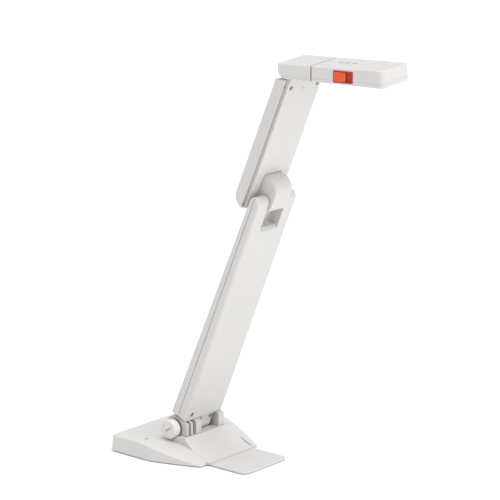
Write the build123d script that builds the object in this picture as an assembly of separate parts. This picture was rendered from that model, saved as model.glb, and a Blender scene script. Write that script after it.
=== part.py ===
from build123d import *
from math import cos, radians, sin, tan
import os

# Folding portable document camera, millimetres.
# +X is forward (the way the camera head points), +Y is to the left of someone who stands
# behind it, +Z is up. z = 0 is the table. The origin lies on the table in the middle of the
# footprint, ORIGIN_X ahead of the base's straight rear edge. The sizes of the base and the
# places of the hinges below are measured from that edge.

# ---- driving sizes -------------------------------------------------------------------
WALL = 2.0                  # moulded wall of every cover
FIT = 0.3                   # gap round a piece that passes through a cover
RUN = 0.05                  # radial clearance of a pin that turns
SEAM = 0.1                  # gap between two halves of one casing

# Base
BASE_WIDTH = 112.0
BASE_HEIGHT = 15.0          # table to the flat rear top
BASE_SIDE = 42.0            # length of the straight sides
WING_X = 96.0               # rear edge to the tips of the two front wings
WING_Y = 39.0               # half width at the tips
BASE_DRAFT = 4.0            # degrees that the side walls lean in
FOOT_HEIGHT = 0.8           # rubber feet under the base
CREASE_X = 71.0             # the wings' sloping tops pass through this point
CREASE_Z = 13.0
WING_FALL_X = 0.365         # slope of a wing's top, forwards
WING_FALL_Y = 0.335         # slope of a wing's top, outwards
WING_ROLL = 60.0            # radius that rolls the flat top over into the wings
HUMP_HALF = 30.8            # half width of the raised middle at its foot
HUMP_LEAN = 0.52            # how far its flanks lean in, per unit of height
HUMP_REAR = 50.0
HUMP_TOP = 19.4
RAMP_X = 69.4               # where the hump starts to fall towards the tongue
RAMP_END = 99.0
PLATE = 1.4                 # steel bottom plate
TONGUE_X = 140.0            # rear edge to the front of the tongue
TONGUE_HALF = 30.0
TONGUE_THICK = 1.4
TONGUE_CORNER = 7.0

# Lower arm, measured from the base hinge B
HINGE_X = 52.6
HINGE_Z = 25.4
LEAN = 23.0                 # degrees from upright, forwards
LOWER_LENGTH = 239.0        # hinge B to knee K
ARM_WIDTH = 52.0
LOWER_FOOT_REAR = 9.6       # the centre line to the rear face at the foot
LOWER_FOOT_FRONT = 8.0
LOWER_KNEE_HALF = 5.8       # half thickness, and end radius, at the knee
LOWER_START = 11.2          # the foot end of the casing
EDGE_ROUND = 2.4            # rounding of the arms' long edges
SEAM_OFFSET = -0.5          # parting line of the lower arm, from the centre line
SLOT_HALF = 11.7            # half width of the knee's slot
SLOT_DEPTH = 25.6           # knee K to the bottom of the slot
SLOT_WEB = 1.4              # web that closes the slot at the back, and how far below K
SLOT_WEB_TOP = 11.4         # it ends, clear of the knuckle as it turns
SLOT_LIP = 2.4              # chamfer on the slot's lower front edge
FOOT_SWEEP = 12.2           # clearance radius round the base hinge

# Base hinge
EAR_RADIUS = 10.8
NEAR_EAR = (-25.0, -22.9)   # across the hinge, in Y
RIB_EAR = (-19.7, -17.3)
MIDDLE_EAR = (-13.0, -5.8)
FAR_EAR = (17.6, 25.0)
EAR_FRONT = 14.8            # front of the ears, ahead of B
KNUCKLE = (-5.0, 13.6)      # the arm's own knuckle, in Y
KNUCKLE_RADIUS = 8.5
KNUCKLE_NECK = 6.0          # half thickness of its neck
PIN_RADIUS = 3.0
CAP_RADIUS = 8.7
CAP_DEPTH = 9.2
CAP_GROOVE = (2.3, 1.6)     # width and depth of the groove behind the cap
COIN_SLOT = (7.8, 1.8, 1.6)

# Upper arm, measured from the knee K
UPPER_REAR = 22.3           # K back to the rear face
UPPER_RIM = 11.2            # K back to the front edge of the side walls
UPPER_FRONT = 8.7           # K back to the front panel
UPPER_TAIL = 11.0           # how far the casing reaches below K
UPPER_WALL = 1.2
PANEL_HALF = 22.0
PANEL_THICK = 1.8
UPPER_RISE = 111.5          # K up to the level top of the upper arm
LUG_HALF = 11.0
LUG_TOP = (-3.3, 9.5, 12.0)     # forward, up, radius of the knuckle's upper round
LUG_LOW = (-0.8, -1.0, 9.3)     # the same for its lower round
KNEE_PIN = 2.5

# Head: rear block and camera head, measured from the tilt pivot P
HEAD_AHEAD = 29.315         # knee K forward to P
HEAD_LIFT = 8.6             # top of the upper arm up to P
HEAD_YAW = 12.0             # degrees that the head is swung round at rest
HEAD_WIDTH = 51.0
HEAD_REAR = 8.0             # P to the rear end
HEAD_UNDER = 8.0            # P down to the underside
HEAD_OVER = 5.3             # P up to the top
HEAD_SPLIT = 23.6           # P to the turning joint
HEAD_SPLIT_GAP = 1.2
HEAD_FRONT = 91.0           # P to the front end
HEAD_FLARE = 0.8            # how much the front end grows, up and down
HEAD_ROUND = 1.2
HEAD_CORNER = 5.0           # front corners, seen from above
POST_RADIUS = 2.8
TONGUE_LUG = (3.6, 5.0)     # radius and half width of the neck's lug
TILT_PIN = 1.5
SPINDLE = (4.0, 2.6)        # outer and inner radius of the turning spindle

SWITCH_X = (44.3, 62.6)     # orange window, from P
SWITCH_Z = (-6.7, 3.7)
SWITCH_DEEP = 2.6
KNOB_LENGTH = 10.0
BUTTON_X = (38.2, 44.7, 51.2)
BUTTON_Y = 2.2
BUTTON_RADIUS = 2.3
LENS_X = 74.0
LENS_RADIUS = 7.0

# ---- frames --------------------------------------------------------------------------
ORIGIN_X = 70.0             # the origin, ahead of the base's rear edge
AT_BASE = Location((-ORIGIN_X, 0, 0))
AT_LOWER = AT_BASE * Location((HINGE_X, 0, HINGE_Z), (0, LEAN, 0))
KNEE_X = HINGE_X + LOWER_LENGTH * sin(radians(LEAN))
KNEE_Z = HINGE_Z + LOWER_LENGTH * cos(radians(LEAN))
AT_UPPER = AT_BASE * Location((KNEE_X, 0, KNEE_Z), (0, LEAN, 0))
UPPER_TOP_Z = KNEE_Z + UPPER_RISE
HEAD_X = KNEE_X + HEAD_AHEAD
HEAD_Z = UPPER_TOP_Z + HEAD_LIFT
AT_HEAD = AT_BASE * Location((HEAD_X, 0, HEAD_Z), (0, 0, HEAD_YAW))
ROLL_Z = (HEAD_OVER - HEAD_UNDER) / 2
HALF = ARM_WIDTH / 2
HEAD_HALF = HEAD_WIDTH / 2


# ---- small tools ---------------------------------------------------------------------
def block(x, y, z):
    """A box given by its low and high values along each axis."""
    size = [high - low for low, high in (x, y, z)]
    middle = [(high + low) / 2 for low, high in (x, y, z)]
    return Pos(*middle) * Box(*size)


def rod_y(radius, y, x=0.0, z=0.0):
    """A round bar along Y."""
    return Pos(x, (y[0] + y[1]) / 2, z) * Rot(90, 0, 0) * Cylinder(radius, y[1] - y[0])


def rod_x(radius, x, y=0.0, z=0.0):
    """A round bar along X."""
    return Pos((x[0] + x[1]) / 2, y, z) * Rot(0, 90, 0) * Cylinder(radius, x[1] - x[0])


def rod_z(radius, z, x=0.0, y=0.0):
    """A round bar along Z."""
    return Pos(x, y, (z[0] + z[1]) / 2) * Cylinder(radius, z[1] - z[0])


def prism_y(outline, y):
    """An outline in the XZ plane, drawn as one closed wire or face, pushed along Y."""
    face = outline if isinstance(outline, (Face, Sketch)) else make_face(outline)
    flat = Plane.XZ.offset(-y[0]) * face
    return extrude(flat, -(y[1] - y[0]))


def screw(head, shank, length):
    """A pan-head screw: its head's underside at z = 0, shank down, cross slot on top."""
    tall = head * 0.55
    body = rod_z(head, (0, tall)) + rod_z(shank, (-length, 0))
    for turn in (0, 90):
        body -= Rot(0, 0, turn) * block((-head * 0.6, head * 0.6), (-head * 0.14, head * 0.14),
                                        (tall * 0.5, tall * 2))
    return body


def save(name, shape, at=None):
    """Write one sub-part; a list of solids becomes one node."""
    if isinstance(shape, (list, tuple)):
        shape = Compound(children=[s for one in shape for s in one.solids()])
    if at is not None:
        shape = at * shape
    if len(shape.solids()) == 1:
        shape = shape.solids()[0]
    export_step(shape, f"parts/{name}.step")


# ---- base ----------------------------------------------------------------------------
def base_outline(inset):
    """Plan of the base: square rear corners, straight sides, wings that draw in."""
    side = BASE_WIDTH / 2 - inset
    tip_x = WING_X - inset
    tip_y = WING_Y - inset
    rear = inset
    corner = max(6.0 - inset, 1.0)
    swell = (BASE_SIDE + 19.0, side - 3.6)
    right = Spline((BASE_SIDE, -side), (swell[0], -swell[1]), (tip_x, -tip_y),
                   tangents=((1, 0), (0.92, 0.42)))
    left = Spline((tip_x, tip_y), swell, (BASE_SIDE, side), tangents=((-0.92, 0.42), (-1, 0)))
    edge = Line((rear, -side), (BASE_SIDE, -side)) + right
    edge += Line((tip_x, -tip_y), (tip_x, tip_y)) + left
    edge += Polyline((BASE_SIDE, side), (rear, side), (rear, -side))
    plan = make_face(edge)
    plan = fillet(plan.vertices().group_by(Axis.X)[0], corner)
    return fillet(plan.vertices().group_by(Axis.X)[-1], 2.5)


def hump_profile(drop):
    """Side view of the raised middle and its hollow ramp down to the tongue."""
    top = HUMP_TOP - drop
    low = FOOT_HEIGHT + TONGUE_THICK + 0.2
    start = RAMP_X - drop * 0.4
    end = RAMP_END - drop * 2
    dip = (start + (end - start) * 0.45, low + (top - low) * 0.34)
    edge = Polyline((HUMP_REAR + drop, FOOT_HEIGHT), (HUMP_REAR + drop, top), (start, top))
    edge += ThreePointArc((start, top), dip, (end, low))
    edge += Polyline((end, low), (end, FOOT_HEIGHT), (HUMP_REAR + drop, FOOT_HEIGHT))
    return make_face(edge)


def base_form(inset, drop):
    """The base's outside (inset 0), or the hollow inside it."""
    face = base_outline(inset)
    form = extrude(face, BASE_HEIGHT - FOOT_HEIGHT - drop, taper=BASE_DRAFT)
    form = Pos(0, 0, FOOT_HEIGHT) * form
    if not inset:
        form = fillet(form.faces().sort_by(Axis.Z)[-1].outer_wire().edges(), 1.6)
    for hand in (-1, 1):
        form -= wing_cut(hand, drop)
    form -= block((RAMP_X - drop * 0.4, WING_X + 5), (-HUMP_HALF, HUMP_HALF), (0, 60))
    hump = prism_y(hump_profile(drop), (-HUMP_HALF + inset, HUMP_HALF - inset))
    for hand in (-1, 1):
        flank = Plane(origin=(0, hand * (HUMP_HALF - inset), BASE_HEIGHT - drop),
                      z_dir=(0, hand, HUMP_LEAN))
        hump -= flank * (Pos(0, 0, 50) * Box(400, 100, 100))
    return form + hump


def wing_cut(hand, drop):
    """What is cut away above one wing: a slope that rolls over from the flat top."""
    fall = (WING_FALL_X ** 2 + WING_FALL_Y ** 2) ** 0.5
    ahead = (WING_FALL_X / fall, hand * WING_FALL_Y / fall, 0)
    across = (hand * WING_FALL_Y / fall, -WING_FALL_X / fall, 0)
    top = BASE_HEIGHT - drop
    low = CREASE_Z - drop
    start = (low - top) / fall
    plane = Plane(origin=(CREASE_X, hand * HUMP_HALF, 0), x_dir=ahead, z_dir=across)
    edge = FilletPolyline((-60, top), (start, top), (70, low - 70 * fall), radius=WING_ROLL)
    edge += Polyline((70, low - 70 * fall), (70, 60), (-60, 60), (-60, top))
    return extrude(plane * make_face(edge), 120, both=True)


def ear_gap(y):
    """The room that an ear needs where it comes up through the cover."""
    front = HINGE_X + EAR_FRONT + FIT
    rear = HINGE_X - EAR_RADIUS - FIT
    return block((rear, front), (y[0] - FIT, y[1] + FIT), (0, HUMP_TOP + 5))


def base_cover():
    cover = base_form(0, 0) - base_form(WALL, WALL)
    for y in EARS:
        cover -= ear_gap(y)
    cover -= rod_y(CAP_RADIUS + 0.5, (-HUMP_HALF - 9, HUMP_HALF + 9), HINGE_X, HINGE_Z)
    cover -= block((60, WING_X + 10), (-TONGUE_HALF - FIT, TONGUE_HALF + FIT),
                   (0, FOOT_HEIGHT + TONGUE_THICK + 0.1))
    cover -= usb_hole(FIT / 2)
    cover -= rod_z(LED_RADIUS + RUN, (0, 30), *LED_PLACE)
    for x, y in BASE_SCREWS:
        cover += rod_z(3.4, (SCREW_FLOOR, BASE_HEIGHT - WALL + 0.4), x, y)
        cover -= rod_z(1.2, (0, SCREW_FLOOR + 7), x, y)
    return cover


EARS = (NEAR_EAR, RIB_EAR, MIDDLE_EAR, FAR_EAR)
BASE_SCREWS = [(9.0, -47.0), (9.0, 47.0), (51.0, -42.0), (51.0, 42.0)]
SCREW_FLOOR = FOOT_HEIGHT + PLATE + 0.2
LED_RADIUS = 1.3
LED_PLACE = (34.0, -43.0)
PORT_Y = -22.0
PORT_SIZE = (7.4, 9.0, 3.2)     # length, width and height of the socket's metal shell
PORT_Z = 7.6


def usb_hole(gap):
    length, width, height = PORT_SIZE
    hole = block((-1, length), (PORT_Y - width / 2 - gap, PORT_Y + width / 2 + gap),
                 (PORT_Z - height / 2 - gap, PORT_Z + height / 2 + gap))
    return fillet(hole.edges().filter_by(Axis.X), height / 2 - 0.1)


def base_plate():
    """Pressed steel plate that closes the base from below."""
    face = base_outline(WALL + 0.3)
    plate = Pos(0, 0, FOOT_HEIGHT + 0.2) * extrude(face, PLATE)
    plate -= block((68, WING_X + 5), (-HUMP_HALF - 0.3, HUMP_HALF + 0.3), (0, 20))
    plate -= block((WING_X - 17, WING_X + 5), (-60, 60), (0, 20))
    for x, y in BASE_SCREWS:
        plate -= rod_z(1.7, (0, 20), x, y)
        plate -= rod_z(3.2, (0, FOOT_HEIGHT + 0.2 + 0.7), x, y)
    for x, y in PLATE_STUDS:
        plate -= rod_z(1.6, (0, 20), x, y)
    return plate


PLATE_STUDS = [(40.0, -14.0), (40.0, 14.0), (78.0, -20.0), (78.0, 20.0)]


def base_screws():
    turn = Rot(180, 0, 0)
    return [Pos(x, y, FOOT_HEIGHT + 0.9) * turn * screw(2.6, 1.15, 7.0) for x, y in BASE_SCREWS]


def ballast():
    """Steel weight on the plate; it keeps the leaning arm from tipping the base."""
    low = FOOT_HEIGHT + 0.2 + PLATE
    slab = block((5.5, HINGE_X + 3), (-37, 37), (low, low + 5.6))
    slab = fillet(slab.edges().filter_by(Axis.Z), 5)
    for x, y in PLATE_STUDS[:2]:
        slab -= rod_z(2.2, (0, 20), x, y)
    slab -= block((0, PORT_SIZE[0] + 8), (PORT_Y - 9, PORT_Y + 9), (0, 20))
    return slab


def tongue():
    """Thin steel foot that stands out in front, under the camera."""
    plate = block((70.4, TONGUE_X), (-TONGUE_HALF, TONGUE_HALF),
                  (FOOT_HEIGHT, FOOT_HEIGHT + TONGUE_THICK))
    front = plate.edges().filter_by(Axis.Z).group_by(Axis.X)[-1]
    plate = fillet(front, TONGUE_CORNER)
    plate = fillet(plate.faces().sort_by(Axis.Z)[-1].edges().filter_by(
        lambda e: e.center().X > 80), 0.5)
    for x, y in PLATE_STUDS[2:]:
        plate -= rod_z(1.6, (0, 20), x, y)
    return plate


def tongue_clamp():
    """Steel bar that clamps the tongue down to the bottom plate."""
    top = FOOT_HEIGHT + TONGUE_THICK
    bar = block((62.0, 84.0), (-26, 26), (top, top + 1.4))
    bar -= block((60.0, 70.2), (-30, 30), (0, FOOT_HEIGHT + 0.2 + PLATE))
    for x, y in PLATE_STUDS[2:]:
        bar -= rod_z(1.6, (0, 20), x, y)
    return bar


def tongue_screws():
    top = FOOT_HEIGHT + TONGUE_THICK + 1.4
    return [Pos(x, y, top) * screw(2.4, 1.4, 2.6) for x, y in PLATE_STUDS[2:]]


def feet():
    """Four rubber feet and a middle strip under the base, and a strip under the tongue."""
    pads = [rod_z(5.0, (0, FOOT_HEIGHT + 0.2), x, y)
            for x, y in ((22, -44), (22, 44), (37, -44), (37, 44))]
    strip = block((TONGUE_X - 14, TONGUE_X - 9), (-22, 22), (0, FOOT_HEIGHT))
    middle = block((63, 77), (-22, 22), (0, FOOT_HEIGHT))
    middle += block((63, 70.2), (-22, 22), (0, FOOT_HEIGHT + 0.2))
    return pads + [fillet(strip.edges().filter_by(Axis.Z), 2.0), middle]


def ear(y):
    """One ear of the base hinge: round about B, with a square front that stops the arm."""
    round_part = rod_y(EAR_RADIUS, y, HINGE_X, HINGE_Z)
    stem = block((HINGE_X - 8, HINGE_X + 8), y, (BRACKET_Z, HINGE_Z))
    square = block((HINGE_X, HINGE_X + EAR_FRONT), y, (BRACKET_Z, HINGE_Z + 9))
    limit = LOWER_START - 0.4
    above = Pos(HINGE_X, 0, HINGE_Z) * Rot(0, LEAN, 0) * block((-40, 40), (-60, 60), (limit, 60))
    return round_part + stem + (square - above)


BRACKET_Z = 8.6
BRACKET_THICK = 2.0


def hinge_bracket():
    """Die-cast bracket: a foot inside the base and four ears that carry the pin."""
    y0, y1 = NEAR_EAR[0], FAR_EAR[1]
    foot = block((HINGE_X - 17, HINGE_X + 13.5), (y0, y1), (BRACKET_Z, BRACKET_Z + BRACKET_THICK))
    bracket = foot
    for y in EARS:
        bracket += ear(y)
    bracket -= rod_y(PIN_RADIUS + 0.01, (-60, 60), HINGE_X, HINGE_Z)
    for x, y in PLATE_STUDS[:2]:
        bracket -= rod_z(1.6, (0, 30), x, y)
    return bracket


def bracket_posts():
    """Threaded posts that hold the bracket down on the bottom plate."""
    low = FOOT_HEIGHT + 0.2
    posts = []
    for x, y in PLATE_STUDS[:2]:
        post = rod_z(2.0, (low + PLATE, BRACKET_Z), x, y)
        post += rod_z(1.5, (low, BRACKET_Z + BRACKET_THICK + 1.2), x, y)
        post += rod_z(2.6, (BRACKET_Z + BRACKET_THICK, BRACKET_Z + BRACKET_THICK + 1.8), x, y)
        posts.append(post)
    return posts


def hinge_pin():
    """Steel axle of the base hinge with a nut thread under the cap."""
    pin = rod_y(PIN_RADIUS, (NEAR_EAR[0] - 5.0, FAR_EAR[1]), HINGE_X, HINGE_Z)
    return pin + rod_y(5.2, (FAR_EAR[1], FAR_EAR[1] + 1.2), HINGE_X, HINGE_Z)


def hinge_cap():
    """Round nut on the near side, turned with a coin to set the hinge's friction."""
    inner, outer = NEAR_EAR[0], NEAR_EAR[0] - CAP_DEPTH
    groove, deep = CAP_GROOVE
    cap = rod_y(CAP_RADIUS, (outer, inner - groove), HINGE_X, HINGE_Z)
    cap = fillet(cap.edges().filter_by(GeomType.CIRCLE).sort_by(Axis.Y)[0], 1.0)
    cap += rod_y(CAP_RADIUS - deep, (inner - groove, inner - 0.1), HINGE_X, HINGE_Z)
    cap -= rod_y(CAP_RADIUS - 2.0, (outer - 1, outer + 0.5), HINGE_X, HINGE_Z)
    length, width, deep = COIN_SLOT
    slot = block((-length / 2, length / 2), (outer, outer + 0.5 + deep), (-width / 2, width / 2))
    cap -= Pos(HINGE_X, 0, HINGE_Z) * Rot(0, -34, 0) * slot
    return cap - rod_y(PIN_RADIUS + 0.01, (inner - 5.0, inner + 1), HINGE_X, HINGE_Z)


def hinge_washers():
    """Friction washers between the arm's knuckle and the ears beside it."""
    spots = ((MIDDLE_EAR[1], KNUCKLE[0]), (KNUCKLE[1], FAR_EAR[0]))
    return [rod_y(6.4, (a + 0.1, b - 0.1), HINGE_X, HINGE_Z)
            - rod_y(PIN_RADIUS + 0.02, (a, b), HINGE_X, HINGE_Z) for a, b in spots]


def hinge_spacers():
    """Steel sleeves on the pin between the ears."""
    sleeves = []
    for a, b in zip(EARS, EARS[1:3]):
        y = (a[1] + 0.05, b[0] - 0.05)
        sleeve = rod_y(4.6, y, HINGE_X, HINGE_Z)
        sleeves.append(sleeve - rod_y(PIN_RADIUS + 0.02, y, HINGE_X, HINGE_Z))
    return sleeves


def usb_port():
    length, width, height = PORT_SIZE
    shell = block((0.3, length), (PORT_Y - width / 2, PORT_Y + width / 2),
                  (PORT_Z - height / 2, PORT_Z + height / 2))
    shell = fillet(shell.edges().filter_by(Axis.X), height / 2 - 0.15)
    hollow = block((0, length - 1.2), (PORT_Y - width / 2 + 0.3, PORT_Y + width / 2 - 0.3),
                   (PORT_Z - height / 2 + 0.3, PORT_Z + height / 2 - 0.3))
    hollow = fillet(hollow.edges().filter_by(Axis.X), height / 2 - 0.4)
    blade = block((1.2, length - 1.0), (PORT_Y - 3.2, PORT_Y + 3.2), (PORT_Z - 0.35, PORT_Z + 0.35))
    return shell - hollow + blade


def base_board():
    """Circuit board that carries the socket and the status light."""
    top = PORT_Z - PORT_SIZE[2] / 2
    board = block((PORT_SIZE[0] - 4.4, 14.6), (PORT_Y - 8.6, PORT_Y + 8.6), (top - 1.2, top))
    return board + block((6.0, 9.0), (PORT_Y - 8.4, PORT_Y - 5.6), (2.4, top - 1.2))


def status_light():
    """Clear light pipe in the top of the base."""
    x, y = LED_PLACE
    return (rod_z(LED_RADIUS, (BASE_HEIGHT - 3.4, BASE_HEIGHT + 0.1), x, y)
            + rod_z(LED_RADIUS + 1.2, (BASE_HEIGHT - 3.4, BASE_HEIGHT - WALL - 0.05), x, y))


# ---- lower arm -----------------------------------------------------------------------
def lower_profile(inset, start, end):
    """Side view of the lower arm between two heights, inset from both faces."""
    def rear(s):
        return -LOWER_FOOT_REAR + (LOWER_FOOT_REAR - LOWER_KNEE_HALF) * s / LOWER_LENGTH + inset

    def front(s):
        return LOWER_FOOT_FRONT + (LOWER_KNEE_HALF - LOWER_FOOT_FRONT) * s / LOWER_LENGTH - inset

    return make_face(Polyline((rear(start), start), (front(start), start), (front(end), end),
                              (rear(end), end), close=True))


def lower_form_solid():
    """The lower arm's outside without its hollow, a little inside its faces."""
    return prism_y(lower_profile(0.8, LOWER_START, LOWER_LENGTH), (-HALF, HALF))


def lower_form():
    """Both shells of the lower arm as one body, with the knee slot and the foot cut."""
    body = prism_y(lower_profile(0, LOWER_START, LOWER_LENGTH), (-HALF, HALF))
    body += rod_y(LOWER_KNEE_HALF, (-HALF, HALF), 0, LOWER_LENGTH)
    rims = body.edges().filter_by(lambda e: abs(abs(e.center().Y) - HALF) < 0.01)
    body = fillet(rims, EDGE_ROUND)
    floor = LOWER_LENGTH - SLOT_DEPTH
    slot = block((-20, 20), (-SLOT_HALF, SLOT_HALF), (floor, LOWER_LENGTH + 20))
    body -= slot - block((-20, -LOWER_KNEE_HALF + SLOT_WEB), (-20, 20),
                         (0, LOWER_LENGTH - SLOT_WEB_TOP))
    lip = LOWER_KNEE_HALF - SLOT_LIP
    body -= prism_y(make_face(Polyline((lip, floor), (lip + 8, floor), (lip + 8, floor - 8), close=True)),
                    (-SLOT_HALF, SLOT_HALF))
    body -= rod_y(FOOT_SWEEP, (-60, 60))
    hollow = prism_y(lower_profile(WALL, LOWER_START + 3.4, floor - 2.4),
                     (-HALF + WALL, HALF - WALL))
    body -= hollow
    body -= block((-KNUCKLE_NECK - FIT, KNUCKLE_NECK + FIT),
                  (KNUCKLE[0] - FIT, KNUCKLE[1] + FIT), (0, LOWER_START + 4))
    groove = block((SEAM_OFFSET - 0.35, SEAM_OFFSET + 0.35), (-60, 60), (0, 300))
    groove -= block((-30, 30), (-HALF + 0.7, HALF - 0.7), (-10, 310))
    body -= groove
    bush = BUSH_RADIUS + 0.02
    for hand in (-1, 1):
        y = sorted((hand * (SLOT_HALF - 1), hand * (HALF - 3.0)))
        body -= rod_y(bush, y, 0, LOWER_LENGTH)
    return body


BUSH_RADIUS = 4.0


def lower_rear_shell():
    """Rear half: it carries the screw bosses."""
    shell = lower_form() - block((SEAM_OFFSET - SEAM / 2, 40), (-60, 60), (0, 300))
    for s, y in LOWER_BOSSES:
        shell += rod_x(3.0, (-LOWER_KNEE_HALF + 0.6, -2.45), y, s)
        shell += rod_x(3.0, (-LOWER_FOOT_REAR + 1.6, -2.45), y, s) & lower_form_solid()
        shell -= rod_x(1.21, (-4.65, 0), y, s)
    return shell


def lower_front_shell():
    """Front half, with a counterbore for the screw at the foot."""
    shell = lower_form() - block((-40, SEAM_OFFSET + SEAM / 2), (-60, 60), (0, 300))
    return shell - foot_screw_hole(*FOOT_SCREWS[0], 1.3)


def foot_screw_hole(s, y, radius):
    """Counterbored hole from the arm's front face."""
    return rod_x(radius, (-1, 20), y, s) + rod_x(2.3, (LOWER_FOOT_FRONT - 1.4, 20), y, s)


LOWER_BOSSES = [(s, y) for s in (40.0, 120.0, LOWER_LENGTH - 43.0) for y in (-18.0, 18.0)]
FOOT_SCREWS = [(17.4, -17.4), (8.5, 10.9)]


def foot_screws():
    """One holds the front shell, the other clamps the knuckle on its pin."""
    lay = Rot(0, 90, 0)
    return [Pos(LOWER_FOOT_FRONT - 1.4, y, s) * lay * screw(2.1, 1.2, 6.5)
            for s, y in FOOT_SCREWS]


def lower_frame():
    """Pressed aluminium spine inside the lower arm."""
    spine = block((-2.4, -1.0), (-21, 21), (LOWER_START + 16, LOWER_LENGTH - SLOT_DEPTH - 5))
    for s in (60.0, 95.0, 150.0, LOWER_LENGTH - 64.0):
        spine -= rod_x(7.0, (-10, 10), 0, s)
    rails = block((-2.4, 2.2), (-21, -19.6), (LOWER_START + 30, LOWER_LENGTH - SLOT_DEPTH - 12))
    rails += block((-2.4, 2.2), (19.6, 21), (LOWER_START + 30, LOWER_LENGTH - SLOT_DEPTH - 12))
    frame = spine + rails
    for s, y in LOWER_BOSSES:
        frame -= rod_x(1.3, (-10, 10), y, s)
        frame -= rod_x(2.0, (-1.0, 10), y, s)
    return frame


def frame_screws():
    lay = Rot(0, 90, 0)
    return [Pos(-1.0, y, s) * lay * screw(1.9, 1.2, 3.6) for s, y in LOWER_BOSSES]


def foot_knuckle():
    """The arm's half of the base hinge; its neck is bolted to the spine inside the arm."""
    knuckle = rod_y(KNUCKLE_RADIUS, KNUCKLE)
    knuckle += block((-KNUCKLE_NECK, KNUCKLE_NECK), KNUCKLE, (0, LOWER_START + 3.2))
    knuckle += block((-5.2, -2.5), KNUCKLE, (LOWER_START, LOWER_START + 24))
    knuckle += block((0, LOWER_FOOT_FRONT - 0.1), KNUCKLE, (0, LOWER_START - 0.25))
    knuckle -= block((KNUCKLE_NECK - 1.0, 20), (-3.0, -0.8), (-2, LOWER_START + 1))
    knuckle -= foot_screw_hole(*FOOT_SCREWS[1], 1.21)
    return knuckle - rod_y(PIN_RADIUS + RUN, (-60, 60))


def knee_pin():
    return rod_y(KNEE_PIN, (-HALF + 3.4, HALF - 3.4), 0, LOWER_LENGTH)


def knee_bushes():
    """Flanged bushes pressed into the two ears."""
    bushes = []
    for hand in (-1, 1):
        body = rod_y(BUSH_RADIUS, sorted((hand * SLOT_HALF, hand * (HALF - 3.2))),
                     0, LOWER_LENGTH)
        bushes.append(body - rod_y(KNEE_PIN + 0.01, (-60, 60), 0, LOWER_LENGTH))
    return bushes


def knee_washers():
    """Thin friction washers between the knuckle and the ears."""
    rings = []
    for hand in (-1, 1):
        y = sorted((hand * (LUG_HALF + 0.1), hand * (SLOT_HALF - 0.1)))
        ring = rod_y(5.4, y, 0, LOWER_LENGTH) - rod_y(KNEE_PIN + 0.02, y, 0, LOWER_LENGTH)
        rings.append(ring)
    return rings


# ---- upper arm -----------------------------------------------------------------------
def level_top(shape, z=UPPER_TOP_Z):
    """Trim a piece of the upper arm, still in its own frame, to a level plane."""
    above = AT_UPPER.inverse() * AT_BASE * block((0, 400), (-80, 80), (z, z + 120))
    return shape - above


def upper_profile(rear, front, tail):
    """Side view of the upper arm: straight, with a large round under its rear corner."""
    turn = rear - UPPER_RIM
    low = -tail
    edge = Polyline((-front, low), (-front, 130), (-rear, 130), (-rear, low + turn))
    edge += ThreePointArc((-rear, low + turn),
                          (-UPPER_RIM - turn * sin(radians(45)), low + turn * (1 - sin(radians(45)))),
                          (-UPPER_RIM, low))
    if front < UPPER_RIM:
        edge += Line((-UPPER_RIM, low), (-front, low))
    return make_face(edge)


def upper_rear_shell():
    """Open tub: rear wall and side walls of the upper arm."""
    tub = prism_y(upper_profile(UPPER_REAR, UPPER_RIM - 0.001, UPPER_TAIL), (-HALF, HALF))
    rims = tub.edges().filter_by(
        lambda e: abs(abs(e.center().Y) - HALF) < 0.01 and e.center().X < -UPPER_RIM - 1)
    tub = fillet(rims, EDGE_ROUND)
    room = prism_y(upper_profile(UPPER_REAR - WALL, UPPER_RIM - 0.001, UPPER_TAIL - WALL),
                   (-HALF + UPPER_WALL, HALF - UPPER_WALL))
    room += block((-UPPER_RIM - 2, 0), (-HALF + UPPER_WALL, HALF - UPPER_WALL), (-9, 130))
    tub -= room
    for s, y in PANEL_SCREWS:
        tub += rod_x(2.6, (-UPPER_REAR + 1, -FRAME_FRONT - FRAME_THICK - 0.05), y, s)
        tub -= rod_x(1.21, (-UPPER_FRONT - 9.1, 0), y, s)
    return level_top(tub)


FRAME_FRONT = 12.4          # K back to the front face of the upper arm's frame
FRAME_THICK = 1.6
PANEL_SCREWS = [(109.0, -17.6), (109.0, 17.6)]


def upper_frame():
    """Grey frame behind the panel; its edges show in the groove beside the panel."""
    edge = HALF - UPPER_WALL - 0.1
    plate = block((-FRAME_FRONT - FRAME_THICK, -FRAME_FRONT), (-edge, edge), (-7.6, 108))
    plate -= block((-30, 0), (-LUG_HALF - 0.1, LUG_HALF + 0.1), (-20, ROOT_TOP + 0.1))
    for s in (45.0, 75.0):
        plate -= rod_x(9.0, (-30, 0), 0, s)
    plate -= block((-30, 0), (-7, 7), (96, 120))
    for s, y in PANEL_SCREWS:
        plate -= rod_x(1.3, (-30, 0), y, s)
    return plate


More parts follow.
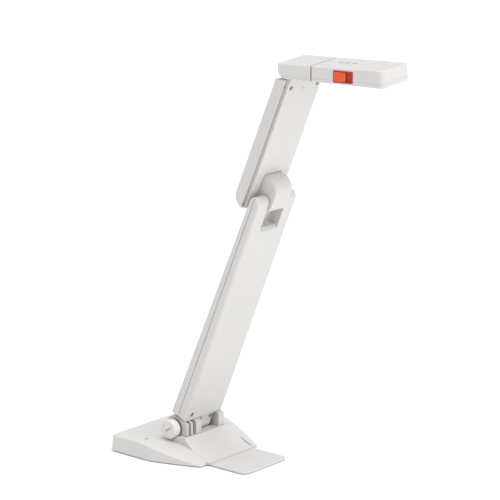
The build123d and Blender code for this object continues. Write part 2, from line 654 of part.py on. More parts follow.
def front_panel():
    """Flat front panel, proud of the side walls, with a notch for the knee's knuckle."""
    panel = block((-FRAME_FRONT + 0.05, -UPPER_FRONT), (-PANEL_HALF, PANEL_HALF),
                  (-UPPER_TAIL + 0.6, 130))
    panel = fillet(panel.edges().filter_by(
        lambda e: e.center().X > -UPPER_FRONT - 0.01 and e.center().Z < 120), 0.9)
    panel -= block((-FRAME_FRONT - 1, -UPPER_FRONT - PANEL_THICK),
                   (-PANEL_HALF + 1.6, PANEL_HALF - 1.6), (LUG_TOP[1] + LUG_TOP[2] + 4, 140))
    panel -= block((-30, -UPPER_RIM + 0.1), (-60, 60), (-20, -UPPER_TAIL + WALL + 0.1))
    panel -= block((-30, 0), (-LUG_HALF - FIT, LUG_HALF + FIT),
                   (-20, LUG_TOP[1] + LUG_TOP[2] + FIT))
    for s, y in PANEL_SCREWS:
        panel += rod_x(3.2, (-FRAME_FRONT + 0.05, -UPPER_FRONT - 1), y, s)
    for s, y in PANEL_SCREWS:
        panel -= rod_x(1.3, (-30, 0), y, s)
        panel -= rod_x(2.2, (-UPPER_FRONT - 1.6, 0), y, s)
    room = AT_UPPER.inverse() * AT_BASE * rod_z(POST_RADIUS + 1.6, (CAP_FLOOR - 4, 400), HEAD_X)
    return level_top(panel - room)


def panel_screws():
    lay = Rot(0, 90, 0)
    return [Pos(-UPPER_FRONT - 1.6, y, s) * lay * screw(2.0, 1.2, 7.4) for s, y in PANEL_SCREWS]


ROOT_TOP = 21.4


def knee_knuckle():
    """Solid knuckle of the knee, bolted into the foot of the upper arm."""
    outline = [Pos(x, z) * Circle(r) for x, z, r in (LUG_TOP, LUG_LOW)]
    outline.append(Pos(-UPPER_FRONT - 1, (ROOT_TOP - 6.0) / 2) * Rectangle(2.0, ROOT_TOP + 6.0))
    shape = make_hull([e for s in outline for e in s.edges()])
    lug = prism_y(shape, (-LUG_HALF, LUG_HALF))
    lug = fillet(lug.edges().filter_by(
        lambda e: e.center().X > -UPPER_FRONT + 0.5 and abs(abs(e.center().Y) - LUG_HALF) < 0.01),
        0.7)
    lug += block((-UPPER_REAR + WALL + 0.1, -UPPER_FRONT), (-LUG_HALF, LUG_HALF), (0.5, ROOT_TOP))
    keep = block((-UPPER_REAR + WALL + 0.1, 30), (-LUG_HALF, LUG_HALF),
                 (-UPPER_TAIL + WALL + 0.1, 30))
    return (lug & keep) - rod_y(KNEE_PIN + RUN, (-60, 60))


CAP_FLOOR = UPPER_TOP_Z - 6.1


def top_cap():
    """Block that closes the upper arm and carries the swivel post."""
    body = block((-UPPER_REAR + WALL + 0.1, -UPPER_FRONT - PANEL_THICK - 0.15),
                 (-HALF + UPPER_WALL + 0.1, HALF - UPPER_WALL - 0.1), (80, 130))
    front = block((-FRAME_FRONT, 0), (-60, -PANEL_HALF + 1.75), (70, 140))
    body -= front + mirror(front, about=Plane.XZ)
    for s, y in PANEL_SCREWS:
        body -= rod_x(3.4, (-40, 0), y, s)
    floor = AT_UPPER.inverse() * AT_BASE * block((0, 400), (-80, 80), (200, CAP_FLOOR))
    bore = AT_UPPER.inverse() * AT_BASE * rod_z(POST_RADIUS + RUN, (300, 400), HEAD_X)
    return level_top(body) - floor - bore


# ---- neck and head -------------------------------------------------------------------
def neck_post():
    """Steel post that swivels in the top cap, with the lug that the head tilts on."""
    low = CAP_FLOOR - HEAD_Z - 2.2
    radius, half = TONGUE_LUG
    post = rod_z(POST_RADIUS, (low, -HEAD_UNDER - 0.1))
    post -= rod_z(POST_RADIUS + 1, (low + 0.9, low + 1.9)) - rod_z(POST_RADIUS - 0.7,
                                                                  (low + 0.9, low + 1.9))
    lug = block((-radius, radius), (-half, half), (-HEAD_UNDER - 0.4, 0)) + rod_y(radius, (-half, half))
    return post + lug - rod_y(TILT_PIN + RUN, (-60, 60))


def neck_clip():
    """Spring clip under the top cap; it keeps the post in."""
    low = CAP_FLOOR - HEAD_Z - 2.2
    ring = rod_z(4.0, (low + 1.0, low + 1.8)) - rod_z(POST_RADIUS - 0.66, (low, low + 3))
    return ring - block((0.6, 8), (-1.4, 1.4), (low, low + 3))


def tilt_pin():
    return rod_y(TILT_PIN, (-11.0, 11.0))


def mount_form(inset):
    """Rear block of the head: square in front, with a large round under its rear end."""
    x0, x1 = -HEAD_REAR + inset, HEAD_SPLIT - HEAD_SPLIT_GAP / 2 - inset
    z0, z1 = -HEAD_UNDER + inset, HEAD_OVER - inset
    turn = HEAD_REAR - inset
    edge = Polyline((0, z0), (x1, z0), (x1, z1), (x0, z1), (x0, 0))
    edge += ThreePointArc((x0, 0), (-turn * sin(radians(45)), -turn * sin(radians(45))), (0, z0))
    form = prism_y(make_face(edge), (-HEAD_HALF + inset, HEAD_HALF - inset))
    if not inset:
        rims = form.edges().filter_by(
            lambda e: abs(abs(e.center().Y) - HEAD_HALF) < 0.01 and e.center().X < x1 - 0.1)
        form = fillet(rims, HEAD_ROUND)
    return form


def neck_room():
    """The slot that the neck's lug needs as the head tilts up."""
    half = TONGUE_LUG[1] + FIT
    reach = TONGUE_LUG[0] + FIT
    slot = block((-HEAD_REAR - 1, reach), (-half, half), (-HEAD_UNDER - 1, reach))
    return slot


def head_mount_cover():
    """Cover of the rear block: top, sides and rear."""
    cover = mount_form(0) - mount_form(WALL)
    for hand in (-1, 1):
        y = sorted((hand * (TONGUE_LUG[1] + FIT), hand * 12.5))
        cover += (block((-6, 5), y, (-7, HEAD_OVER - 1)) & mount_form(1.0))
    cover -= block((-HEAD_REAR - 2, HEAD_SPLIT + 2), (-40, 40), (-20, MOUNT_PARTING))
    cover -= neck_room()
    cover -= rod_y(TILT_PIN + 0.01, (-11.2, 11.2))
    return cover - rod_x(SPINDLE[0] + 0.02, (HEAD_SPLIT - 8, HEAD_SPLIT + 5), 0, ROLL_Z)


MOUNT_PARTING = -5.6


def head_mount_base():
    """Underside of the rear block."""
    base = mount_form(0) - mount_form(WALL)
    base &= block((-HEAD_REAR - 2, HEAD_SPLIT + 2), (-40, 40), (-20, MOUNT_PARTING - SEAM))
    for x, y in MOUNT_SCREWS:
        base -= rod_z(1.3, (-20, 20), x, y)
        base -= rod_z(2.2, (-20, -HEAD_UNDER + 0.9), x, y)
    return base - neck_room()


MOUNT_SCREWS = [(14.0, -17.0), (14.0, 17.0)]


def mount_block():
    """Cast block inside the rear block that holds the turning spindle."""
    z = (-HEAD_UNDER + WALL + 0.1, HEAD_OVER - WALL - 0.1)
    cast = block((8.0, HEAD_SPLIT - HEAD_SPLIT_GAP / 2 - WALL - 0.1), (-20, 20), z)
    for x, y in MOUNT_SCREWS:
        cast -= rod_z(1.2, (-20, 20), x, y)
    return cast - rod_x(SPINDLE[0] + 0.02, (0, 60), 0, ROLL_Z)


def mount_screws():
    turn = Rot(180, 0, 0)
    return [Pos(x, y, -HEAD_UNDER + 0.9) * turn * screw(2.0, 1.15, 6.0) for x, y in MOUNT_SCREWS]


def roll_spindle():
    """Hollow spindle that the camera head turns on; the leads run through it."""
    tube = rod_x(SPINDLE[0], (9.0, HEAD_SPLIT + 9.0), 0, ROLL_Z)
    tube += rod_x(SPINDLE[0] + 0.5, (HEAD_SPLIT + 7.4, HEAD_SPLIT + 9.0), 0, ROLL_Z)
    return tube - rod_x(SPINDLE[1], (0, 60), 0, ROLL_Z)


def camera_form(inset):
    """Camera head: it grows a little towards its front end, and its front corners are round."""
    x0, x1 = HEAD_SPLIT + HEAD_SPLIT_GAP / 2 + inset, HEAD_FRONT - inset
    up, down = HEAD_OVER - inset, -HEAD_UNDER + inset
    side = make_face(Polyline((x0, down), (x1, down - HEAD_FLARE), (x1 - 0.9, up + HEAD_FLARE),
                              (x0, up), close=True))
    form = prism_y(side, (-HEAD_HALF + inset, HEAD_HALF - inset))
    uprights = form.edges().filter_by(
        lambda e: abs(abs(e.center().Y) - HEAD_HALF + inset) < 0.01 and e.center().X > x1 - 1.5)
    form = fillet(uprights, HEAD_CORNER - inset)
    if not inset:
        rims = form.edges().filter_by(
            lambda e: e.center().X > x0 + 1 and (e.center().Z > up - 0.1 or e.center().Z < down + 0.1))
        form = fillet(rims, HEAD_ROUND)
    return form


CAMERA_PARTING = -4.8


def camera_top_cover():
    """Top and sides of the camera head, with the window and button holes."""
    cover = camera_form(0) - camera_form(WALL)
    cover &= block((0, 120), (-40, 40), (CAMERA_PARTING, 20))
    cover -= switch_room(0.05)
    for x in BUTTON_X:
        cover -= rod_z(BUTTON_RADIUS + 0.15, (0, 20), x, BUTTON_Y)
    cover -= rod_z(0.5, (0, 20), HEAD_FRONT - 12, 0)
    for x, y in CAMERA_SCREWS:
        post = rod_z(2.4, (CAMERA_PARTING + 0.2, HEAD_OVER - 0.6), x, y)
        cover += post
        cover -= rod_z(1.1, (-20, 3), x, y)
    return cover - spindle_room()


def camera_bottom_cover():
    """Underside of the camera head, with the lens and light openings."""
    cover = camera_form(0) - camera_form(WALL)
    cover &= block((0, 120), (-40, 40), (-20, CAMERA_PARTING - SEAM))
    cover -= switch_room(0.05)
    cover -= rod_z(LENS_RADIUS + 0.1, (-20, 0), LENS_X)
    for y in (-15.0, 15.0):
        cover -= light_window(y, 0.1)
    for x, y in CAMERA_SCREWS:
        cover -= rod_z(1.3, (-20, 0), x, y)
        cover -= rod_z(2.2, (-20, -HEAD_UNDER + 0.6), x, y)
    return cover - spindle_room()


CAMERA_SCREWS = [(32.0, -18.0), (32.0, 18.0)]


def spindle_room():
    """Running bore for the spindle in the camera head's rear wall."""
    return rod_x(SPINDLE[0] + RUN, (HEAD_SPLIT - 1, HEAD_SPLIT + 6), 0, ROLL_Z)


def camera_screws():
    turn = Rot(180, 0, 0)
    return [Pos(x, y, -HEAD_UNDER + 0.6) * turn * screw(2.0, 1.05, 6.0) for x, y in CAMERA_SCREWS]


def spindle_collar():
    """Collar inside the camera head; it runs on the spindle and holds the head on."""
    x = (HEAD_SPLIT + HEAD_SPLIT_GAP / 2 + WALL + 0.1, HEAD_SPLIT + 7.2)
    collar = block(x, (-9, 9), (-HEAD_UNDER + WALL + 0.1, HEAD_OVER - WALL - 0.1))
    return collar - rod_x(SPINDLE[0] + RUN, (0, 60), 0, ROLL_Z)


def switch_room(gap):
    low, high = SWITCH_X
    room = block((low - gap, high + gap), (-40, -HEAD_HALF + SWITCH_DEEP + gap),
                 (SWITCH_Z[0] - gap, SWITCH_Z[1] + gap))
    return fillet(room.edges().filter_by(Axis.Y), 1.0 + gap)


def switch_bezel():
    """Orange tray let into the near side, with the channel that the knob slides in."""
    low, high = SWITCH_X
    tray = block(SWITCH_X, (-HEAD_HALF, -HEAD_HALF + SWITCH_DEEP), SWITCH_Z)
    tray = fillet(tray.edges().filter_by(Axis.Y), 1.0)
    channel = block((low + 1.1, high - 1.1), (-HEAD_HALF - 1, -HEAD_HALF + SWITCH_DEEP - 0.8),
                    (SWITCH_Z[0] + 1.1, SWITCH_Z[1] - 1.1))
    return tray - fillet(channel.edges().filter_by(Axis.Y), 0.6)


def switch_knob():
    """Ribbed orange slider."""
    low = SWITCH_X[0] + 1.3
    knob = block((low, low + KNOB_LENGTH), (-HEAD_HALF - 0.5, -HEAD_HALF + SWITCH_DEEP - 0.95),
                 (SWITCH_Z[0] + 1.3, SWITCH_Z[1] - 1.3))
    knob = fillet(knob.edges().filter_by(Axis.Y), 0.5)
    for n in range(5):
        z = SWITCH_Z[0] + 2.6 + n * 1.6
        knob -= block((low + 1.0, low + KNOB_LENGTH - 1.0), (-HEAD_HALF - 1, -HEAD_HALF - 0.15),
                      (z, z + 0.6))
    return knob


def button(x):
    """Small round push button in the top of the camera head."""
    rise = HEAD_FLARE * (x - HEAD_SPLIT) / (HEAD_FRONT - HEAD_SPLIT)
    top = HEAD_OVER + rise + 0.35
    under = HEAD_OVER - WALL + rise
    cap = rod_z(BUTTON_RADIUS, (under - 0.9, top), x, BUTTON_Y)
    cap = fillet(cap.edges().group_by(Axis.Z)[-1], 0.3)
    return cap + rod_z(BUTTON_RADIUS + 0.7, (under - 0.9, under - 0.3), x, BUTTON_Y)


def control_board():
    """Circuit board of the camera head, under the buttons."""
    board = block((HEAD_SPLIT + 12.6, HEAD_FRONT - 6), (-19, 19), (-0.6, 0.6))
    board &= block((0, 120), (-HEAD_HALF + SWITCH_DEEP + 0.6, 40), (-5, 5))
    for x in BUTTON_X:
        rise = HEAD_FLARE * (x - HEAD_SPLIT) / (HEAD_FRONT - HEAD_SPLIT)
        board += block((x - 1.8, x + 1.8), (BUTTON_Y - 1.8, BUTTON_Y + 1.8),
                       (0.6, HEAD_OVER - WALL + rise - 1.6))
    for x, y in ((HEAD_SPLIT + 15, -15.0), (HEAD_SPLIT + 15, 15.0), (HEAD_FRONT - 9, 15.0)):
        board += rod_z(1.6, (0.6, HEAD_OVER - WALL - 0.05), x, y)
    return board


def lens_barrel():
    """Black lens holder that looks down through the underside."""
    low = -HEAD_UNDER - 0.5
    barrel = rod_z(LENS_RADIUS, (low, -2.2), LENS_X)
    barrel += rod_z(LENS_RADIUS + 1.2, (-HEAD_UNDER + WALL + 0.1, -2.2), LENS_X)
    barrel -= rod_z(LENS_RADIUS - 1.4, (low - 1, low + 1.6), LENS_X)
    return barrel - rod_z(3.2, (low - 1, -3.4), LENS_X)


def lens_glass():
    low = -HEAD_UNDER - 0.5
    return rod_z(LENS_RADIUS - 1.5, (low + 0.5, low + 1.5), LENS_X)


def image_sensor():
    low = -2.1
    return block((LENS_X - 5, LENS_X + 5), (-5, 5), (low, -0.7))


def light_window(y, gap):
    window = block((LENS_X - 9 - gap, LENS_X + 9 + gap), (y - 2.2 - gap, y + 2.2 + gap),
                   (-HEAD_UNDER - 0.6, -HEAD_UNDER + WALL + 0.6))
    return fillet(window.edges().filter_by(Axis.Z), 2.0)


def light_windows():
    """Diffusers over the two rows of lights beside the lens."""
    return [light_window(y, 0) for y in (-15.0, 15.0)]


# ---- build ---------------------------------------------------------------------------
BASE_PARTS = {
    "base_cover": base_cover, "base_plate": base_plate, "base_screws": base_screws,
    "ballast_weight": ballast, "front_tongue": tongue, "tongue_clamp": tongue_clamp,
    "tongue_screws": tongue_screws, "rubber_feet": feet, "hinge_bracket": hinge_bracket,
    "bracket_posts": bracket_posts, "base_hinge_pin": hinge_pin, "hinge_cap": hinge_cap,
    "hinge_spacers": hinge_spacers, "hinge_washers": hinge_washers, "usb_port": usb_port,
    "base_board": base_board, "status_light": status_light,
}
LOWER_PARTS = {
    "lower_rear_shell": lower_rear_shell, "lower_front_shell": lower_front_shell,
    "foot_screws": foot_screws, "lower_frame": lower_frame, "frame_screws": frame_screws,
    "foot_knuckle": foot_knuckle, "knee_pin": knee_pin, "knee_bushes": knee_bushes,
    "knee_washers": knee_washers,
}
UPPER_PARTS = {
    "upper_rear_shell": upper_rear_shell, "upper_frame": upper_frame,
    "upper_front_panel": front_panel, "panel_screws": panel_screws,
    "knee_knuckle": knee_knuckle, "upper_top_cap": top_cap,
}
HEAD_PARTS = {
    "neck_post": neck_post, "neck_clip": neck_clip, "tilt_pin": tilt_pin,
    "head_mount_cover": head_mount_cover, "head_mount_base": head_mount_base,
    "head_mount_block": mount_block, "head_mount_screws": mount_screws,
    "roll_spindle": roll_spindle, "camera_top_cover": camera_top_cover,
    "camera_bottom_cover": camera_bottom_cover, "camera_screws": camera_screws,
    "spindle_collar": spindle_collar, "switch_bezel": switch_bezel, "switch_knob": switch_knob,
    "control_board": control_board, "lens_barrel": lens_barrel, "lens_glass": lens_glass,
    "image_sensor": image_sensor, "light_windows": light_windows,
}


def main():
    os.makedirs("parts", exist_ok=True)
    for frame, parts in ((AT_BASE, BASE_PARTS), (AT_LOWER, LOWER_PARTS),
                         (AT_UPPER, UPPER_PARTS), (AT_HEAD, HEAD_PARTS)):
        for name, make in parts.items():
            save(name, make(), frame)
    for number, x in enumerate(BUTTON_X, 1):
        save(f"top_button_{number}", button(x), AT_HEAD)


main()
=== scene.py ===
import math

import bpy
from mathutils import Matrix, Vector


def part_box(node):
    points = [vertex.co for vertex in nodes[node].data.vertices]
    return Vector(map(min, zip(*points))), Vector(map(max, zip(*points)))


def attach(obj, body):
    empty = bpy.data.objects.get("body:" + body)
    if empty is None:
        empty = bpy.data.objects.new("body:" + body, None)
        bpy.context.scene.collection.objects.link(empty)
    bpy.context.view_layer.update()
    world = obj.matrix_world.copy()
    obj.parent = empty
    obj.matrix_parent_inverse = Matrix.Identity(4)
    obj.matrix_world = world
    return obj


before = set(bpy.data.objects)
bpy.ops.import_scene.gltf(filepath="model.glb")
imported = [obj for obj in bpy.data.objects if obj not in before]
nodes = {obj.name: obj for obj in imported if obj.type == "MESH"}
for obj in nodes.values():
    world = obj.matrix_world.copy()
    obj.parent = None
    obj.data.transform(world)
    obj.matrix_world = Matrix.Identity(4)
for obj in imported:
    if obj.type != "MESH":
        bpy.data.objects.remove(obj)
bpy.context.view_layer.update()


# ---- white covers -------------------------------------------------------------------
# The casings of the base, both arms and the head. Injection-moulded white ABS about 2 mm
# thick, with the fine even grain that a spark-eroded mould leaves and a satin sheen.

def moulded_skin():
    """Grain of a moulded surface: a fine height, and a roughness and tint that drift a little."""
    group = bpy.data.node_groups.new("moulded_skin", "ShaderNodeTree")
    sockets = group.interface
    for name, default in (("Grain Size", 2600.0), ("Roughness", 0.4), ("Roughness Drift", 0.06),
                          ("Tint Drift", 0.03)):
        sockets.new_socket(name, in_out="INPUT", socket_type="NodeSocketFloat").default_value = default
    sockets.new_socket("Colour", in_out="INPUT", socket_type="NodeSocketColor")
    sockets.new_socket("Colour", in_out="OUTPUT", socket_type="NodeSocketColor")
    sockets.new_socket("Roughness", in_out="OUTPUT", socket_type="NodeSocketFloat")
    sockets.new_socket("Height", in_out="OUTPUT", socket_type="NodeSocketFloat")
    add = group.nodes.new
    entry = add("NodeGroupInput")
    leave = add("NodeGroupOutput")
    place = add("ShaderNodeTexCoord")
    grain = add("ShaderNodeTexNoise")
    grain.inputs["Detail"].default_value = 2.0
    drift = add("ShaderNodeTexNoise")
    drift.inputs["Scale"].default_value = 28.0
    drift.inputs["Detail"].default_value = 3.0
    centre = add("ShaderNodeMath")
    centre.operation = "SUBTRACT"
    centre.inputs[1].default_value = 0.5
    rough = add("ShaderNodeMath")
    rough.operation = "MULTIPLY_ADD"
    shade = add("ShaderNodeMath")
    shade.operation = "MULTIPLY_ADD"
    shade.inputs[2].default_value = 1.0
    tint = add("ShaderNodeVectorMath")
    tint.operation = "SCALE"
    join = group.links.new
    join(place.outputs["Object"], grain.inputs["Vector"])
    join(place.outputs["Object"], drift.inputs["Vector"])
    join(entry.outputs["Grain Size"], grain.inputs["Scale"])
    join(drift.outputs["Fac"], centre.inputs[0])
    join(centre.outputs[0], rough.inputs[0])
    join(entry.outputs["Roughness Drift"], rough.inputs[1])
    join(entry.outputs["Roughness"], rough.inputs[2])
    join(centre.outputs[0], shade.inputs[0])
    join(entry.outputs["Tint Drift"], shade.inputs[1])
    join(entry.outputs["Colour"], tint.inputs[0])
    join(shade.outputs[0], tint.inputs["Scale"])
    join(tint.outputs["Vector"], leave.inputs["Colour"])
    join(rough.outputs[0], leave.inputs["Roughness"])
    join(grain.outputs["Fac"], leave.inputs["Height"])
    return group


def plastic(name, colour, roughness, grain=2600.0, depth=0.00001, edge=0.0003, coat=0.0):
    """A moulded plastic: the skin's grain, and edges that are never quite sharp."""
    material = bpy.data.materials.new(name)
    material.use_nodes = True
    tree = material.node_tree
    shader = tree.nodes["Principled BSDF"]
    skin = tree.nodes.new("ShaderNodeGroup")
    skin.node_tree = bpy.data.node_groups.get("moulded_skin") or moulded_skin()
    skin.inputs["Grain Size"].default_value = grain
    skin.inputs["Roughness"].default_value = roughness
    skin.inputs["Colour"].default_value = (*colour, 1.0)
    soft_edge = tree.nodes.new("ShaderNodeBevel")
    soft_edge.samples = 6
    soft_edge.inputs["Radius"].default_value = edge
    bump = tree.nodes.new("ShaderNodeBump")
    bump.inputs["Strength"].default_value = 0.25
    bump.inputs["Distance"].default_value = depth
    shader.inputs["Coat Weight"].default_value = coat
    shader.inputs["IOR"].default_value = 1.5
    join = tree.links.new
    join(skin.outputs["Colour"], shader.inputs["Base Color"])
    join(skin.outputs["Roughness"], shader.inputs["Roughness"])
    join(skin.outputs["Height"], bump.inputs["Height"])
    join(soft_edge.outputs["Normal"], bump.inputs["Normal"])
    join(bump.outputs["Normal"], shader.inputs["Normal"])
    return material


def dress(material, *names):
    """Give CAD pieces their material."""
    for name in names:
        skin = nodes[name].data.materials
        skin.clear()
        skin.append(material)


WHITE = (0.61, 0.606, 0.59)
white_cover = plastic("white_cover", WHITE, 0.38)
dress(white_cover, "lower_rear_shell", "lower_front_shell", "upper_rear_shell",
      "upper_front_panel", "foot_knuckle")
WIDE_EDGE = 0.0012       # radius on the base and the knee, metres
FINE_EDGE = 0.00012      # on the head, whose covers meet in tight joints
soft_cover = plastic("soft_edged_cover", WHITE, 0.36, edge=WIDE_EDGE)
dress(soft_cover, "base_cover", "knee_knuckle")
fine_cover = plastic("fine_edged_cover", WHITE, 0.36, edge=FINE_EDGE)
dress(fine_cover, "camera_top_cover", "camera_bottom_cover", "head_mount_cover",
      "head_mount_base")
bright_cover = plastic("cap_white", (0.72, 0.715, 0.70), 0.32, edge=0.0002)
dress(bright_cover, "hinge_cap")

# ---- grey frames, painted groove shade ----------------------------------------------
# The frame behind the upper panel is a grey darker than the covers. This is painted shade: it shows as
# a darker line in the groove beside the panel, where shade falls. The block at the top of the arm
# wears the same grey. The ears of the base hinge are one moulding in the white of the covers, a shade
# duller.

# Darker grey: painted shade for the groove beside the upper panel.
groove_shade_grey = plastic("groove_shade_grey", (0.56, 0.56, 0.545), 0.55, grain=1500.0, depth=0.00002)
dress(groove_shade_grey, "upper_frame", "upper_top_cap")
white_bracket = plastic("white_bracket", (0.60, 0.595, 0.58), 0.45)
dress(white_bracket, "hinge_bracket")

# ---- tongue -------------------------------------------------------------------------
# A thin steel plate in front, sprayed to match the covers. The paint is smoother than the
# moulded grain, with a faint orange peel.

tongue_paint = plastic("tongue_paint", WHITE, 0.34, grain=420.0, depth=0.00002)
dress(tongue_paint, "front_tongue")

# ---- orange switch ------------------------------------------------------------------
# The slider and its tray on the side of the head: pigmented orange ABS. The tray is painted a darker
# orange as painted shade for the slot around the slider. The slider's ribs are polished by thumbs, and
# its upper edge catches the light.

orange = plastic("orange_switch", (0.83, 0.090, 0.012), 0.30, grain=3000.0, coat=0.2)
# The tray's darker orange is painted shade for the slot around the slider.
shaded_tray_orange = plastic("tray_orange_painted_shade", (0.42, 0.038, 0.006), 0.45, grain=3000.0)
dress(orange, "switch_knob")
dress(shaded_tray_orange, "switch_bezel")

# ---- buttons, light and windows -----------------------------------------------------
# Three white keys in the top of the head, the clear pipe of the status light in the base,
# and the milky acrylic windows over the lamps beside the lens.

button_white = plastic("button_white", (0.43, 0.43, 0.42), 0.30)
dress(button_white, "top_button_1", "top_button_2", "top_button_3")

milky = plastic("milky_acrylic", (0.84, 0.85, 0.84), 0.20, depth=0.000003, coat=0.3)
milky.node_tree.nodes["Principled BSDF"].inputs["Subsurface Weight"].default_value = 0.3
milky.node_tree.nodes["Principled BSDF"].inputs["Subsurface Scale"].default_value = 0.002
dress(milky, "light_windows")
smoke = plastic("smoked_pipe", (0.22, 0.24, 0.23), 0.12, depth=0.000003, coat=0.5)
dress(smoke, "status_light")


# ---- steel and alloy ----------------------------------------------------------------
# Screws, pins, plates and the castings inside. Zinc-plated and drawn steel keeps the fine
# lines of its drawing or rolling; the castings are duller.

def drawn_lines():
    """Fine parallel lines along one axis, for rolled, drawn and turned metal."""
    group = bpy.data.node_groups.new("drawn_lines", "ShaderNodeTree")
    sockets = group.interface
    for name, default in (("Roughness", 0.3), ("Spread", 0.15)):
        sockets.new_socket(name, in_out="INPUT", socket_type="NodeSocketFloat").default_value = default
    stretch = sockets.new_socket("Stretch", in_out="INPUT", socket_type="NodeSocketVector")
    stretch.default_value = (80.0, 3000.0, 3000.0)
    sockets.new_socket("Roughness", in_out="OUTPUT", socket_type="NodeSocketFloat")
    sockets.new_socket("Height", in_out="OUTPUT", socket_type="NodeSocketFloat")
    add = group.nodes.new
    entry = add("NodeGroupInput")
    leave = add("NodeGroupOutput")
    place = add("ShaderNodeTexCoord")
    pull = add("ShaderNodeVectorMath")
    pull.operation = "MULTIPLY"
    lines = add("ShaderNodeTexNoise")
    lines.inputs["Scale"].default_value = 1.0
    lines.inputs["Detail"].default_value = 4.0
    rough = add("ShaderNodeMath")
    rough.operation = "MULTIPLY_ADD"
    join = group.links.new
    join(place.outputs["Object"], pull.inputs[0])
    join(entry.outputs["Stretch"], pull.inputs[1])
    join(pull.outputs["Vector"], lines.inputs["Vector"])
    join(lines.outputs["Fac"], rough.inputs[0])
    join(entry.outputs["Spread"], rough.inputs[1])
    join(entry.outputs["Roughness"], rough.inputs[2])
    join(rough.outputs[0], leave.inputs["Roughness"])
    join(lines.outputs["Fac"], leave.inputs["Height"])
    return group


def metal(name, colour, roughness, stretch, spread=0.18):
    """A bare metal with drawn lines and slightly broken edges."""
    material = bpy.data.materials.new(name)
    material.use_nodes = True
    tree = material.node_tree
    shader = tree.nodes["Principled BSDF"]
    shader.inputs["Base Color"].default_value = (*colour, 1.0)
    shader.inputs["Metallic"].default_value = 1.0
    lines = tree.nodes.new("ShaderNodeGroup")
    lines.node_tree = bpy.data.node_groups.get("drawn_lines") or drawn_lines()
    lines.inputs["Roughness"].default_value = roughness
    lines.inputs["Spread"].default_value = spread
    lines.inputs["Stretch"].default_value = stretch
    broken_edge = tree.nodes.new("ShaderNodeBevel")
    broken_edge.inputs["Radius"].default_value = 0.00012
    bump = tree.nodes.new("ShaderNodeBump")
    bump.inputs["Strength"].default_value = 0.15
    bump.inputs["Distance"].default_value = 0.000008
    join = tree.links.new
    join(lines.outputs["Roughness"], shader.inputs["Roughness"])
    join(lines.outputs["Height"], bump.inputs["Height"])
    join(broken_edge.outputs["Normal"], bump.inputs["Normal"])
    join(bump.outputs["Normal"], shader.inputs["Normal"])
    return material


rolled_steel = metal("rolled_steel", (0.56, 0.57, 0.58), 0.28, (60.0, 2600.0, 2600.0))
turned_steel = metal("turned_steel", (0.60, 0.61, 0.62), 0.20, (2600.0, 60.0, 2600.0))
screw_zinc = metal("screw_zinc", (0.34, 0.34, 0.35), 0.36, (900.0, 900.0, 900.0))
cast_alloy = metal("cast_alloy", (0.62, 0.63, 0.64), 0.45, (700.0, 700.0, 700.0), 0.25)
dress(rolled_steel, "base_plate", "ballast_weight", "tongue_clamp", "bracket_posts", "neck_clip",
      "usb_port")
dress(turned_steel, "base_hinge_pin", "hinge_spacers", "knee_pin", "tilt_pin", "neck_post",
      "roll_spindle")
dress(screw_zinc, "base_screws", "tongue_screws", "foot_screws", "frame_screws",
      "panel_screws", "head_mount_screws", "camera_screws")
dress(cast_alloy, "lower_frame", "head_mount_block", "spindle_collar")

# ---- rubber, washers and boards -----------------------------------------------------
# Feet moulded in black rubber under the base, friction washers and flanged bushes of black
# acetal in the hinges, and green fibreglass boards in the base and the head.

foot_rubber = plastic("foot_rubber", (0.018, 0.018, 0.018), 0.75, grain=900.0, depth=0.00004)
dress(foot_rubber, "rubber_feet")
acetal = plastic("black_acetal", (0.03, 0.03, 0.03), 0.40)
dress(acetal, "hinge_washers", "knee_washers", "knee_bushes")
board_green = plastic("board_green", (0.012, 0.090, 0.040), 0.28, depth=0.000004, coat=0.4)
dress(board_green, "base_board", "control_board")

# ---- cap ring, painted shade --------------------------------------------------------
# A black ring in the groove behind the slotted cap of the base hinge, put there as painted shade for
# the gap between the cap and its ear. It lies just under the cap's rim, and shows as a dark line
# between the cap and its ear.

RING_TUBE = 0.00072      # radius of the ring's tube, metres
RING_UNDER = 0.00014     # how far the ring lies below the cap's rim
RING_INSET = 0.00125     # middle of the groove, from the cap's inner end
RING_WIDEN = 1.4         # the ring is wider than it is thick
cap_low, cap_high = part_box("hinge_cap")
cap_radius = (cap_high[0] - cap_low[0]) / 2
bpy.ops.object.select_all(action="DESELECT")
bpy.ops.mesh.primitive_torus_add(
    location=(
        (cap_low[0] + cap_high[0]) / 2,
        cap_high[1] - RING_INSET,
        (cap_low[2] + cap_high[2]) / 2,
    ),
    rotation=(math.pi / 2, 0.0, 0.0), major_segments=72, minor_segments=14,
    major_radius=cap_radius - RING_TUBE - RING_UNDER, minor_radius=RING_TUBE)
cap_shade_ring = bpy.context.object
cap_shade_ring.name = "cap_shade_ring"
cap_shade_ring.scale = (1.0, 1.0, RING_WIDEN)
bpy.ops.object.transform_apply(location=True, rotation=True, scale=True)
bpy.ops.object.shade_smooth()
# The ring takes the black of the feet as painted shade.
cap_shade_ring.data.materials.append(foot_rubber)
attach(cap_shade_ring, "base")

# ---- lens ---------------------------------------------------------------------------
# A black moulded holder with its flange inside the floor of the head, so that it looks
# straight down. A coated glass closes its mouth, and the sensor faces it from the board.

lens_black = plastic("lens_black", (0.012, 0.012, 0.013), 0.42)
dress(lens_black, "lens_barrel", "image_sensor")

coated_glass = bpy.data.materials.new("coated_glass")
coated_glass.use_nodes = True
glass = coated_glass.node_tree.nodes["Principled BSDF"]
glass.inputs["Base Color"].default_value = (0.72, 0.78, 0.90, 1.0)
glass.inputs["Roughness"].default_value = 0.03
glass.inputs["IOR"].default_value = 1.52
glass.inputs["Transmission Weight"].default_value = 0.9
glass.inputs["Coat Weight"].default_value = 0.6
dress(coated_glass, "lens_glass")

# ---- floor --------------------------------------------------------------------------
# A plain pale table that the scanner stands on, matt and wide enough to fill the view. It
# isn't part of the scanner.

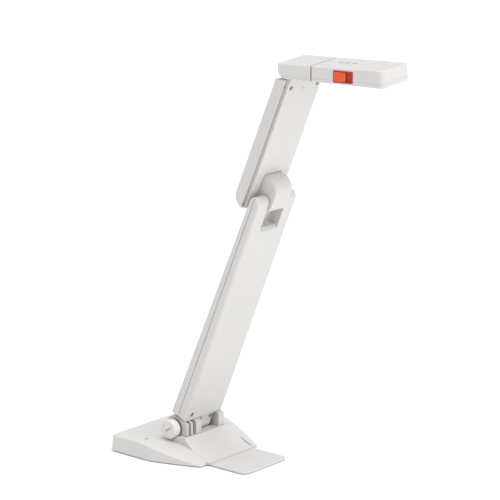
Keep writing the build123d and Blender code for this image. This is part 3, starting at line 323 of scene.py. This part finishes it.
FLOOR_SIZE = 16.0
bpy.ops.object.select_all(action="DESELECT")
bpy.ops.mesh.primitive_plane_add(size=FLOOR_SIZE, location=(0.0, 0.0, 0.0))
floor = bpy.context.object
floor.name = "floor"
pale_floor = bpy.data.materials.new("pale_floor")
pale_floor.use_nodes = True
matt = pale_floor.node_tree.nodes["Principled BSDF"]
matt.inputs["Base Color"].default_value = (0.95, 0.95, 0.95, 1.0)
matt.inputs["Roughness"].default_value = 0.9
floor.data.materials.append(pale_floor)

# ---- light --------------------------------------------------------------------------
# A white room, with a broad even light from overhead and a square soft box two metres ahead
# of the scanner. The colours are shown as they are lit, with no film curve.

world = bpy.context.scene.world or bpy.data.worlds.new("white_room")
bpy.context.scene.world = world
world.use_nodes = True
sky = world.node_tree.nodes["Background"]
sky.inputs["Color"].default_value = (1.0, 1.0, 1.0, 1.0)
sky.inputs["Strength"].default_value = 0.64
bpy.context.scene.view_settings.view_transform = "Standard"

BOX_PLACE = (2.3, 0.3, 1.1)
BOX_AIM = (0.05, 0.0, 0.2)
front_light = bpy.data.lights.new("front_box", "AREA")
front_light.size = 1.2
front_light.energy = 12.0
front_box = bpy.data.objects.new("front_box", front_light)
bpy.context.collection.objects.link(front_box)
front_box.location = BOX_PLACE
away = [place - aim for place, aim in zip(BOX_PLACE, BOX_AIM)]
level = math.hypot(away[0], away[1])
front_box.rotation_euler = (math.atan2(level, away[2]), 0.0, math.atan2(away[0], -away[1]))

overhead_light = bpy.data.lights.new("overhead", "SUN")
overhead_light.energy = 2.15
overhead_light.angle = 0.9
overhead = bpy.data.objects.new("overhead", overhead_light)
bpy.context.collection.objects.link(overhead)
overhead.rotation_euler = (0.0, 0.22, 0.0)

# ---- camera -------------------------------------------------------------------------
# A long lens two metres away, in front of the scanner on its right-hand side. It looks a
# little down at a point halfway up the arm.

AIM = (0.0501, 0.0, 0.1961)
AZIMUTH = math.radians(40.46)
ELEVATION = math.radians(13.91)
DISTANCE = 2.1929
view = bpy.data.cameras.new("camera")
view.lens = 180.4
view.sensor_width = 36.0
view.clip_end = 50.0
camera = bpy.data.objects.new("camera", view)
bpy.context.collection.objects.link(camera)
camera.location = (
    AIM[0] + DISTANCE * math.sin(AZIMUTH) * math.cos(ELEVATION),
    AIM[1] - DISTANCE * math.cos(AZIMUTH) * math.cos(ELEVATION),
    AIM[2] + DISTANCE * math.sin(ELEVATION),
)
camera.rotation_euler = (math.pi / 2 - ELEVATION, 0.0, AZIMUTH)
bpy.context.scene.camera = camera
